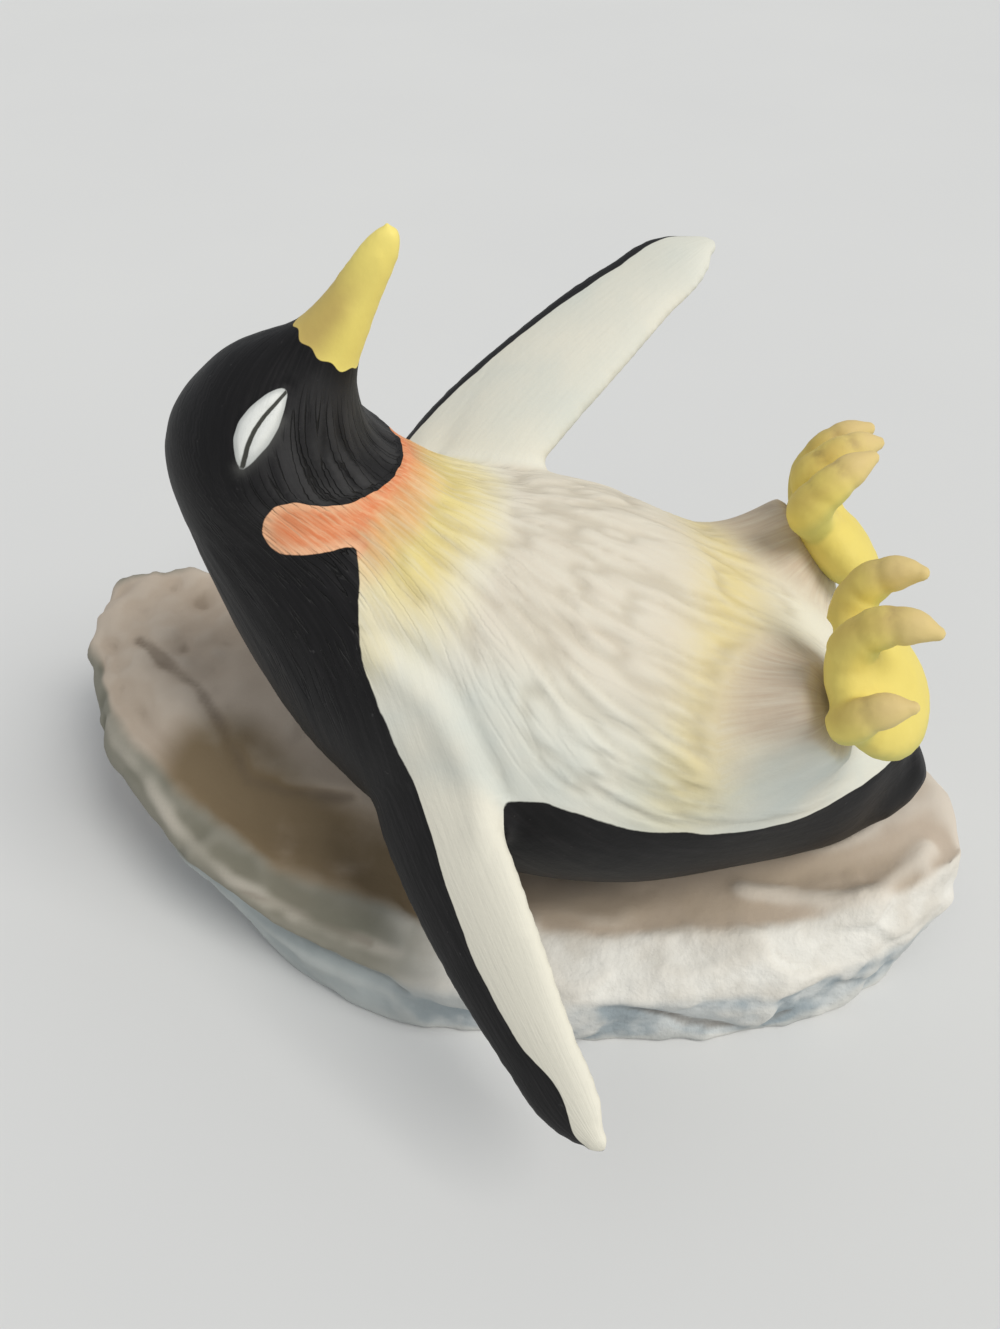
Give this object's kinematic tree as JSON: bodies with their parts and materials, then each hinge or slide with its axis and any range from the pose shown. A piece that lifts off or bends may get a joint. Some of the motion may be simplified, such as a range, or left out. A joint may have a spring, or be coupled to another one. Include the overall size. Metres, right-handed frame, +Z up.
{
  "type": "penguin figurine",
  "caption": "Painted bisque porcelain penguin asleep on its back on a rock, head and one wing raised, the other wing hanging over the rock's front, feet in the air.",
  "frame": {"origin": "on the surface the figurine stands on, on the rock's flat underside, under the bird's middle plane", "axes": "+Z up, +X from the bird's head to its feet along the rock's length, -Y towards the bird's right wing, which hangs over the rock's front"},
  "size_m": [0.163, 0.1309, 0.1242],
  "materials": {
    "rock_bisque": "unglazed bisque, washed with grey and tan",
    "white_bisque": "unglazed bisque, painted matt",
    "black_bisque": "unglazed bisque, painted matt",
    "yellow_bisque": "unglazed bisque, painted matt"
  },
  "bodies": {
    "root": {"rock_base": "rock_bisque", "torso": "white_bisque", "head": "black_bisque", "beak": "yellow_bisque", "right_wing": "white_bisque", "left_wing": "white_bisque", "right_leg": "white_bisque", "left_leg": "white_bisque", "right_foot": "yellow_bisque", "left_foot": "yellow_bisque", "tail": "black_bisque"}
  },
  "joints": []
}
